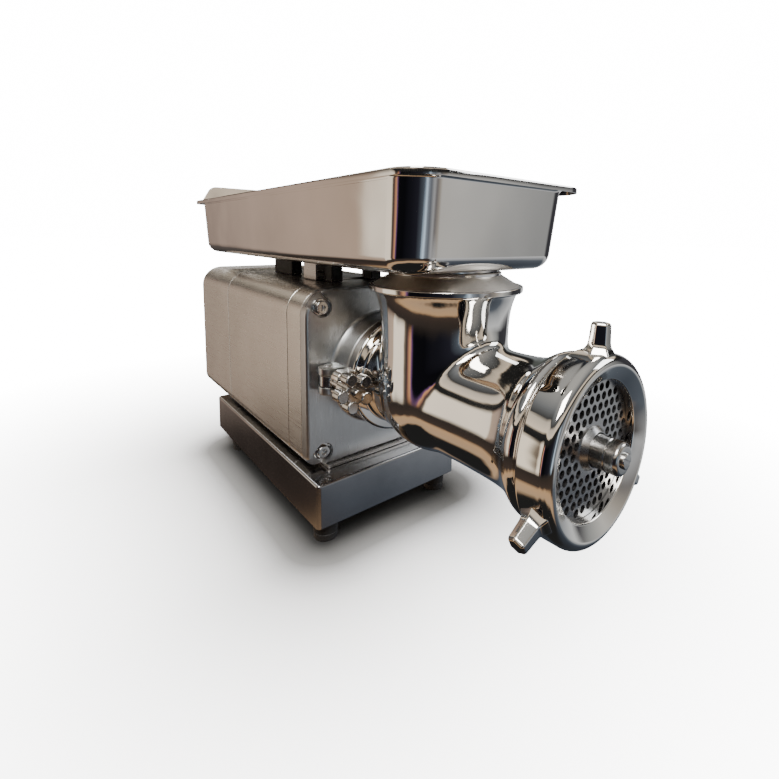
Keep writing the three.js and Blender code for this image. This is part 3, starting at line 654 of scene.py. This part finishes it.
def make_plate():
    plate = turned("hole_plate", [
        (11.8, -237.2), (49.4, -237.2), (49.9, -237.7), (49.9, -247.2), (49.4, -247.7), (15.6, -247.7),
        (14.4, -249.6), (12.6, -251.8), (11.9, -251.8), (11.9, -237.2)], steps=96)
    drill = rod("drill", HOLES["radius"], -252, -230, up=0, steps=18)
    row_rise = math.sin(math.pi / 3)
    drills = []
    for row in range(-6, 7):
        for column in range(-7, 8):
            x = (column + (row % 2) / 2) * HOLES["pitch"]
            z = row * HOLES["pitch"] * row_rise
            if HOLES["land"] < math.hypot(x, z) < HOLES["rim"]:
                drills.append(moved(copied(drill, "drill"), x, 0, AXIS + z))
    bpy.data.objects.remove(drill)
    cut(plate, joined("drills", *drills))
    eased(plate, 0.22, 1, 50)
    fitted(plate, "frame", ["perforated_plate"], FINISH["plate"])


def make_pin():
    pin = turned("pin", [
        (0, -272.1), (4.6, -272.1), *arc(4.6, -271.3, 0.8, -90, 0, 3), (5.4, -270.2), (8.4, -270.2),
        *arc(8.4, -267.3, 2.9, -90, 0, 6), (11.3, -262.4), (10.8, -261.9), (10.8, -261.1), (11.3, -260.6),
        (11.3, -252.6), (11.7, -249.4), (11.6, -236.9), (0, -236.9)], steps=64)
    slot = brick("slot", (-6, -273, AXIS - 0.9), (6, -271.2, AXIS + 0.9))
    cut(pin, rolled(slot, PIN_SLOT_TURN))
    eased(pin, 0.25, 2)
    fitted(pin, "auger_line", ["auger_pin"], FINISH["turned"])


# ---------------------------------------------------------------- swing bolts and star knobs
CLAMP_X = -69.0
PIVOT_Y = -11
LOBES = {"count": 5, "first": 0.68, "out": 13.2}


def make_bolt():
    bolt = turned("bolt", [(0, -65), (3.4, -65), (4, -64.4), (4, PIVOT_Y), (0, PIVOT_Y)],
                  across=CLAMP_X, steps=32)
    eye = [(0, -5.5), (8.2, -5.5), (9, -4.7), (9, 4.7), (8.2, 5.5), (0, 5.5)]
    fused(bolt, turned("eye", [(r, AXIS + h) for r, h in eye], "z", CLAMP_X, PIVOT_Y, 40))
    return cut(bolt, rod("eye_hole", 4, AXIS - 9, AXIS + 9, "z", CLAMP_X, PIVOT_Y, 32))


def make_pivot():
    profile = [(0, -14), (3.0, -14), (3.6, -13.4), (3.6, 13.4), (3.0, 14), (0, 14)]
    return turned("pivot", [(r, AXIS + h) for r, h in profile], "z", CLAMP_X, PIVOT_Y, 32)


def make_knob():
    knob = turned("knob", [
        (0, -61), (9.6, -61), *arc(9.6, -59.6, 1.4, -90, 0, 4), (11, -52.4), *arc(9.6, -52.4, 1.4, 0, 90, 4),
        (8, -50.4), (8, -38.95), (0, -38.95)], across=CLAMP_X, steps=48)
    lobe = [(0, -61.8), (4.2, -62), (4.6, -62), *arc(4.8, -60.8, 1.2, -90, 0, 4), (6, -52.2),
            *arc(4.8, -52.2, 1.2, 0, 90, 4), (0, -51)]
    for i in range(LOBES["count"]):
        angle = LOBES["first"] + FULL_TURN * i / LOBES["count"]
        across, up = CLAMP_X + LOBES["out"] * math.cos(angle), AXIS + LOBES["out"] * math.sin(angle)
        fused(knob, turned("lobe", lobe, across=across, up=up, steps=28))
    cut(knob, rod("thread", 4.3, -80, -30, across=CLAMP_X, steps=32))
    return eased(knob, 0.5, 2, 40)


def make_clamps():
    bolt, pivot, knob = make_bolt(), make_pivot(), make_knob()
    for side in ("left", "right"):
        for label, node_name, body, source in (
                ("bolt", f"swing_bolt_{side}", f"{side}_bolt", bolt),
                ("pivot", f"pivot_pin_{side}", "frame", pivot),
                ("knob", f"clamp_knob_{side}", f"{side}_knob", knob)):
            name = f"{label}_{side}"
            piece = copied(source, name) if side == "left" else flipped(source, name)
            fitted(piece, body, [node_name], FINISH["turned"])
    for source in (bolt, pivot, knob):
        bpy.data.objects.remove(source)


# ---------------------------------------------------------------- tray and its supports
TRAY = {"half": 87.8, "front": -155.6, "back": 322.1, "bottom": 275.5, "top": 346.3, "corner": 25}
TRAY_SHEET = 1.5
# The pan's wall and rolled rim, from the floor up: half width, front, back and height.
TRAY_RINGS = [(90.6, -163.0, 327.6, 341.0), (91.1, -163.8, 328.1, 343.0), (92.0, -165.2, 329.0, 344.6),
              (93.4, -167.2, 330.3, 345.7), (95.2, -169.8, 332.0, TRAY["top"]),
              (99.0, -175.6, 335.3, TRAY["top"]), (99.9, -177.0, 336.1, 345.8),
              (100.2, -177.4, 336.4, 344.8), (100.2, -177.4, 336.4, 341.4)]
SPOUT = {"bore": 41, "outer": 44, "seat": 47, "low": 262}
LIP = {"half": 91, "front": 327.9, "back": 329.7, "low": 343.5, "top": 369, "taper": 0.82, "lean": 4}
SUPPORT = {"low": 249.6, "high": 275.2}
STAND = {"half": 41, "front": 69, "back": 99, "sheet": 2}
PAD = {"x": 26, "half": 7, "front": (47, 65), "rear": (149, 203)}


def make_pan():
    """The open pan: a floor drawn up ring by ring, then its bottom edge rounded and its wall thickened."""
    half, front, back, bottom = (TRAY[key] for key in ("half", "front", "back", "bottom"))
    a, b = place(-half, front, bottom), place(half, back, bottom)
    clear()
    bpy.ops.mesh.primitive_plane_add(size=1, location=(a + b) / 2)
    bpy.context.active_object.scale = (b.x - a.x, b.y - a.y, 1)
    tray = settled("feed_tray")
    editing(tray)
    bpy.ops.mesh.select_all(action="SELECT")
    bpy.ops.mesh.bevel(offset=TRAY["corner"] * MM, segments=12, affect="VERTICES", clamp_overlap=False)
    bpy.ops.mesh.select_all(action="SELECT")
    last = (half, front, back, bottom)
    for ring in TRAY_RINGS:
        (h0, f0, b0, z0), (h1, f1, b1, z1) = last, ring
        lift = Vector((0, (f1 + b1 - f0 - b0) / 2, z1 - z0)) * MM
        bpy.ops.mesh.extrude_region_move(TRANSFORM_OT_translate={"value": lift})
        centre = place(0, (f1 + b1) / 2, z1)
        bpy.ops.transform.resize(value=(h1 / h0, (b1 - f1) / (b0 - f0), 1), center_override=centre)
        last = ring
    bpy.ops.mesh.delete(type="ONLY_FACE")
    done()

    def at_floor(a, b):
        return max(a.z, b.z) < bottom + NEAR

    pick_edges(tray, at_floor)
    bpy.ops.mesh.edge_face_add()
    done()
    bevel_edges(tray, at_floor, 12, 8)
    editing(tray)
    bpy.ops.mesh.select_all(action="SELECT")
    bpy.ops.mesh.remove_doubles(threshold=0.01 * MM)
    bpy.ops.mesh.normals_make_consistent(inside=False)
    done()
    take(tray)
    wall = tray.modifiers.new("sheet", "SOLIDIFY")
    wall.thickness = TRAY_SHEET * MM
    wall.offset = -1
    bpy.ops.object.modifier_apply(modifier=wall.name)
    return tray


def make_back_lip():
    """The raised plate along the back edge, narrower at its top and leaning back."""
    half, front, back, low, top, taper, lean = LIP.values()
    lip = brick("back_lip", (-half, front, low), (half, back, top))
    mesh = editing(lip)
    bpy.ops.mesh.select_all(action="DESELECT")
    for vertex in mesh.verts:
        vertex.select = vertex.co.z > TRAY["top"] * MM
    bmesh.update_edit_mesh(lip.data)
    bpy.ops.transform.resize(value=(taper, 1, 1), center_override=place(0, 329, top))
    bpy.ops.transform.translate(value=(0, lean * MM, 0))
    done()
    bevel_edges(lip, lambda a, b: along("y")(a, b) and a.z > top - 9, 7, 5)
    return eased(lip, 0.5, 2)


def make_tray():
    tray = make_pan()
    bore, outer, seat, low = SPOUT.values()
    spout = turned("spout", [(bore, low), (outer, low), (outer, 273.2), (seat, 273.2), (seat, 276.2),
                             (bore, 276.2), (bore, low)], "z", 0, CHUTE_Y, 96)
    fused(tray, spout)
    cut(tray, rod("drop", bore, 255, 285, "z", 0, CHUTE_Y, 96))
    fused(tray, make_back_lip())
    fitted(tray, "tray", ["tray"], FINISH["tray"], 30)


def make_tray_supports():
    low, high = SUPPORT["low"], SUPPORT["high"]
    half, front, back, sheet = STAND.values()
    bracket = brick("tray_stand", (-half, front, low), (half, back, high))
    cut(bracket, brick("inside", (sheet - half, 60, low + sheet), (half - sheet, 110, high - sheet)))
    bevel_edges(bracket, lambda a, b: along("y")(a, b) and abs(abs(a.x) - half) < NEAR, 1.8, 4)
    eased(bracket, 0.3, 2)
    fitted(bracket, "frame", ["tray_bracket"], FINISH["bracket"])
    for end in ("front", "rear"):
        start, finish = PAD[end]
        for side, x in (("left", -PAD["x"]), ("right", PAD["x"])):
            block = brick(f"pad_{end}_{side}", (x - PAD["half"], start, low),
                          (x + PAD["half"], finish, high))
            eased(block, 1.2, 3)
            fitted(block, "frame", [f"tray_block_{end}_{side}"], FINISH["rubber"])


# ---------------------------------------------------------------- switch and gland
SWITCH = {"y": 300, "wide": 22, "tall": 42, "root": 87.3, "face": 94.6}
BUTTON_RISE = 18
GLAND = {"x": -50, "z": 42.5, "start": 282.9}


def make_switch():
    y, wide, tall, root, face = SWITCH.values()
    box = brick("switch_housing", (root, y - wide, AXIS - tall), (face, y + wide, AXIS + tall))
    bevel_edges(box, along("x"), 8, 8)
    bevel_edges(box, lambda a, b: min(a.x, b.x) > face - NEAR, 2.0, 4)
    start_z, stop_z = AXIS + BUTTON_RISE, AXIS - BUTTON_RISE
    for z in (start_z, stop_z):
        rim = [(0, 90), (13.4, 90), (13.4, 95.2), *arc(12.6, 95.2, 0.8, 0, 90, 3), (0, 96)]
        collar = turned("collar", rim, "x", y, z, 48)
        fused(box, collar)
        cut(box, rod("well", 11.3, 90.3, 100, "x", y, z, 48))
    eased(box, 0.3, 2)
    fitted(box, "frame", ["switch_box"], FINISH["plastic"])
    profile = [(0, 93.4), (11, 93.4), (11, 97.0), *arc(10, 97.2, 1, 0, 90, 4), (7, 98.0), (0, 97.6)]
    for name, z, finish in (("start_button", start_z, "green"), ("stop_button", stop_z, "red")):
        cap = turned(f"{name}_cap", profile, "x", y, z, 48)
        fitted(cap, name, [name], FINISH[finish])


def make_gland():
    start = GLAND["start"]
    profile = [(4, 0), (9.4, 0), (11, 0.8), (11, 5.4), (10.4, 6), (8, 6.6), (8, 11.6), (9.6, 12), (10, 12.6),
               (9.6, 15.4), (8.4, 18), (6.2, 18), (4, 17), (4, 0)]
    placed = [(r, start + h) for r, h in profile]
    gland = turned("cable_entry", placed, across=GLAND["x"], up=GLAND["z"], steps=36)
    fitted(gland, "frame", ["cable_gland"], FINISH["plastic"])


make_housing()
make_motor_shell()
make_rear_cap()
make_cover()
make_cover_screws()
make_base()
make_feet()
make_head()
make_ring_nut()
make_plate()
make_pin()
make_clamps()
make_tray()
make_tray_supports()
make_switch()
make_gland()

slots = {part["node"]: part["material_slot"] for part in frame["record"]["subparts"]}
for name, obj in frame["nodes"].items():
    if not obj.hide_render:
        obj.data.materials.clear()
        obj.data.materials.append(FINISH[SLOT_FINISH[slots[name]]])


# ---------------------------------------------------------------- floor, light and camera
PALE = (0.86, 0.86, 0.86)
# colour of the painted shadow on the floor around the stand
PAINTED_SHADOW = (0.04, 0.04, 0.04)
FLOOR_GLOW = 16.0
STAND_CENTRE_Y = 0.07
STAND_HALF = (0.075, 0.125, 0)


def make_floor():
    """A pale floor with a painted shadow around the feet; further out the floor glows, which is painted
    light, and fades into the wall.
    """
    clear()
    bpy.ops.mesh.primitive_plane_add(size=40, location=(0, 0, 0))
    floor = settled("studio_floor")
    made, tree, shader = material_of("floor_paint", PALE, 0.0, 0.6)
    link = tree.links.new
    where = node(tree, "ShaderNodeTexCoord")
    centred = node(tree, "ShaderNodeVectorMath", operation="ADD")
    centred.inputs[1].default_value = (0, -STAND_CENTRE_Y, 0)
    side = node(tree, "ShaderNodeVectorMath", operation="ABSOLUTE")
    past = node(tree, "ShaderNodeVectorMath", operation="SUBTRACT")
    past.inputs[1].default_value = STAND_HALF
    outside = node(tree, "ShaderNodeVectorMath", operation="MAXIMUM")
    distance = node(tree, "ShaderNodeVectorMath", operation="LENGTH")
    link(where.outputs["Object"], centred.inputs[0])
    link(centred.outputs["Vector"], side.inputs[0])
    link(side.outputs["Vector"], past.inputs[0])
    link(past.outputs["Vector"], outside.inputs[0])
    link(outside.outputs["Vector"], distance.inputs[0])
    away = distance.outputs["Value"]
    # painted shadow: the floor's colour turns near black close to the stand, whatever the lamps do
    link(blended(tree, away, PAINTED_SHADOW, PALE, 0.01, 0.08), shader.inputs["Base Color"])
    # painted light: the floor glows, more the further it lies from the stand
    link(ramp(tree, away, 0.0, FLOOR_GLOW, 0.04, 0.60), shader.inputs["Emission Strength"])
    shader.inputs["Emission Color"].default_value = (1, 1, 1, 1)
    floor.data.materials.append(made)
    floor.visible_glossy = False
    floor.visible_diffuse = False


def area_light(name, location, target, size, power, color=(1, 1, 1)):
    data = bpy.data.lights.new(name, "AREA")
    data.shape = "RECTANGLE"
    data.size, data.size_y = size
    data.energy = power
    data.color = color
    lamp = bpy.data.objects.new(name, data)
    bpy.context.scene.collection.objects.link(lamp)
    lamp.location = location
    lamp.rotation_mode = "QUATERNION"
    lamp.rotation_quaternion = (Vector(target) - Vector(location)).to_track_quat("-Z", "Y")


# What the polished steel reflects: (compass angle clockwise from the machine's back, colour).
ROOM = [(-180, (0.30, 0.34, 0.40)), (-173, (0.85, 1.10, 1.35)), (-166, (0.10, 0.12, 0.15)),
        (-148, (0.02, 0.02, 0.03)), (-100, (0.005, 0.005, 0.007)), (-76, (0.006, 0.006, 0.008)),
        (-71, (0.20, 0.10, 0.26)), (-67, (0.95, 0.45, 0.20)), (-62, (0.30, 0.16, 0.12)),
        (-58, (0.04, 0.03, 0.03)), (-53, (0.30, 0.24, 0.18)), (-50, (1.50, 1.30, 1.04)),
        (-27, (1.40, 1.24, 1.02)), (-25, (0.66, 0.49, 0.37)), (-12, (0.56, 0.42, 0.34)),
        (-4, (0.12, 0.10, 0.09)), (20, (0.03, 0.03, 0.03)), (46, (0.10, 0.11, 0.10)),
        (60, (0.50, 0.53, 0.56)), (70, (0.95, 0.97, 1.0)), (78, (0.06, 0.06, 0.07)),
        (104, (0.05, 0.05, 0.06)), (116, (0.42, 0.43, 0.43)), (126, (0.72, 0.71, 0.68)),
        (138, (0.46, 0.42, 0.37)), (150, (0.20, 0.19, 0.19)), (158, (0.50, 0.51, 0.53)),
        (170, (0.16, 0.18, 0.21)), (180, (0.30, 0.34, 0.40))]
# Steepness of the direction looked in, colour, and how far that colour hides the compass bands.
CEILING = [(0.0, (0, 0, 0), 0), (0.20, (0.02, 0.02, 0.02), 0), (0.28, (0.02, 0.02, 0.02), 1),
           (0.38, (0.03, 0.03, 0.03), 1), (0.42, (1.15, 0.97, 0.76), 1), (0.55, (0.80, 0.70, 0.58), 1),
           (0.60, (0.07, 0.07, 0.07), 1), (0.74, (0.22, 0.23, 0.24), 1), (1.0, (0.55, 0.54, 0.52), 1)]
GROUND_LEFT = [(0.0, (0, 0, 0), 0), (0.24, (0.05, 0.04, 0.03), 0), (0.32, (0.045, 0.035, 0.03), 1),
               (0.48, (0.07, 0.05, 0.04), 1), (0.53, (0.70, 0.44, 0.24), 1), (0.64, (0.62, 0.42, 0.26), 1),
               (0.68, (0.02, 0.02, 0.02), 1), (1.0, (0.02, 0.02, 0.02), 1)]
GROUND_RIGHT = [(0.0, (0, 0, 0), 0), (0.16, (0.60, 0.61, 0.62), 0), (0.24, (0.78, 0.80, 0.82), 1),
                (0.36, (0.42, 0.44, 0.47), 1), (0.44, (0.12, 0.14, 0.17), 1), (0.60, (0.05, 0.06, 0.08), 1),
                (1.0, (0.02, 0.02, 0.02), 1)]


WANDER = (0.22, 0.22, 0.12)  # how far the noise bends the bands
WALL_GLOW = 16.0


def stopped(tree, factor, stops):
    """A colour ramp with the given stops; its alpha says how far it covers what lies under it."""
    ramp_node = node(tree, "ShaderNodeValToRGB")
    elements = ramp_node.color_ramp.elements
    elements.remove(elements[1])
    for i, (at, color, cover) in enumerate(stops):
        stop = elements[0] if i == 0 else elements.new(at)
        stop.position, stop.color = at, (*color, cover)
    tree.links.new(factor, ramp_node.inputs["Fac"])
    return ramp_node


def laid_over(tree, under, factor, stops):
    """Stops laid over another colour."""
    over = stopped(tree, factor, stops)
    mix = node(tree, "ShaderNodeMix", data_type="RGBA")
    tree.links.new(over.outputs["Alpha"], mix.inputs[0])
    tree.links.new(under, mix.inputs[6])
    tree.links.new(over.outputs["Color"], mix.inputs[7])
    return mix.outputs[2]


def make_room():
    """A pale wall to look at; the steel reflects a dim shop with warm and cool bands in its place."""
    world = bpy.data.worlds.new("room")
    bpy.context.scene.world = world
    world.use_nodes = True
    tree = world.node_tree
    link = tree.links.new
    coordinates = node(tree, "ShaderNodeTexCoord")
    wander = node(tree, "ShaderNodeTexNoise", Scale=2.2, Detail=2.0)
    link(coordinates.outputs["Generated"], wander.inputs["Vector"])
    shift = node(tree, "ShaderNodeVectorMath", operation="MULTIPLY_ADD")
    shift.inputs[1].default_value = WANDER
    link(wander.outputs["Color"], shift.inputs[0])
    link(coordinates.outputs["Generated"], shift.inputs[2])
    parts = node(tree, "ShaderNodeSeparateXYZ")
    link(shift.outputs[0], parts.inputs[0])
    compass = node(tree, "ShaderNodeMath", operation="ARCTAN2")
    link(parts.outputs["X"], compass.inputs[0])
    link(parts.outputs["Y"], compass.inputs[1])
    share = node(tree, "ShaderNodeMapRange")
    share.inputs["From Min"].default_value = -math.pi
    share.inputs["From Max"].default_value = math.pi
    link(compass.outputs[0], share.inputs["Value"])
    around = [((angle + 180) / 360, color, 1) for angle, color in ROOM]
    bands = stopped(tree, share.outputs["Result"], around)
    down = node(tree, "ShaderNodeMath", operation="MULTIPLY")
    link(parts.outputs["Z"], down.inputs[0])
    down.inputs[1].default_value = -1
    left = laid_over(tree, bands.outputs["Color"], down.outputs[0], GROUND_LEFT)
    right = laid_over(tree, bands.outputs["Color"], down.outputs[0], GROUND_RIGHT)
    sides = node(tree, "ShaderNodeMix", data_type="RGBA")
    link(ramp(tree, parts.outputs["X"], 0, 1, 0.3, 0.5), sides.inputs[0])
    link(left, sides.inputs[6])
    link(right, sides.inputs[7])
    ground = laid_over(tree, sides.outputs[2], parts.outputs["Z"], CEILING)
    shop = tree.nodes["Background"]
    shop.inputs["Strength"].default_value = 1.0
    link(ground, shop.inputs["Color"])
    pale = node(tree, "ShaderNodeBackground", Color=(1, 1, 1, 1), Strength=WALL_GLOW)
    path = node(tree, "ShaderNodeLightPath")
    mixed = node(tree, "ShaderNodeMixShader")
    link(path.outputs["Is Camera Ray"], mixed.inputs["Fac"])
    link(shop.outputs[0], mixed.inputs[1])
    link(pale.outputs[0], mixed.inputs[2])
    link(mixed.outputs[0], tree.nodes["World Output"].inputs["Surface"])
    area_light("key", (-1.1, -1.0, 2.0), (0, 0, 0.1), (1.1, 1.1), 62, (1.0, 0.97, 0.93))
    area_light("fill", (1.7, -1.3, 1.3), (0, 0, 0.15), (0.9, 0.9), 16, (0.93, 0.97, 1.0))
    area_light("back", (0.4, 1.7, 1.7), (0, 0, 0.2), (1.6, 0.7), 22)


CAMERA = {"place": (-0.2759, -0.4372, 0.30295), "azimuth": 40.69, "elevation": -6.69, "roll": 0.98,
          "sensor": 36, "lens": 20.82, "shift_x": -0.0456, "shift_y": -0.1304}


def make_camera():
    azimuth, elevation, roll = (math.radians(CAMERA[key]) for key in ("azimuth", "elevation", "roll"))
    forward = Vector((math.cos(elevation) * math.sin(azimuth), math.cos(elevation) * math.cos(azimuth),
                      math.sin(elevation)))
    level = Vector((math.cos(azimuth), -math.sin(azimuth), 0))
    up = level.cross(forward)
    right = level * math.cos(roll) + up * math.sin(roll)
    top = up * math.cos(roll) - level * math.sin(roll)
    data = bpy.data.cameras.new("camera")
    data.sensor_width = CAMERA["sensor"]
    data.lens = CAMERA["lens"]
    data.shift_x = CAMERA["shift_x"]
    data.shift_y = CAMERA["shift_y"]
    data.clip_start = 0.01
    camera = bpy.data.objects.new("camera", data)
    bpy.context.scene.collection.objects.link(camera)
    turn = Matrix((right, top, -forward)).transposed().to_4x4()
    camera.matrix_world = Matrix.Translation(CAMERA["place"]) @ turn
    bpy.context.scene.camera = camera


make_floor()
make_room()
make_camera()
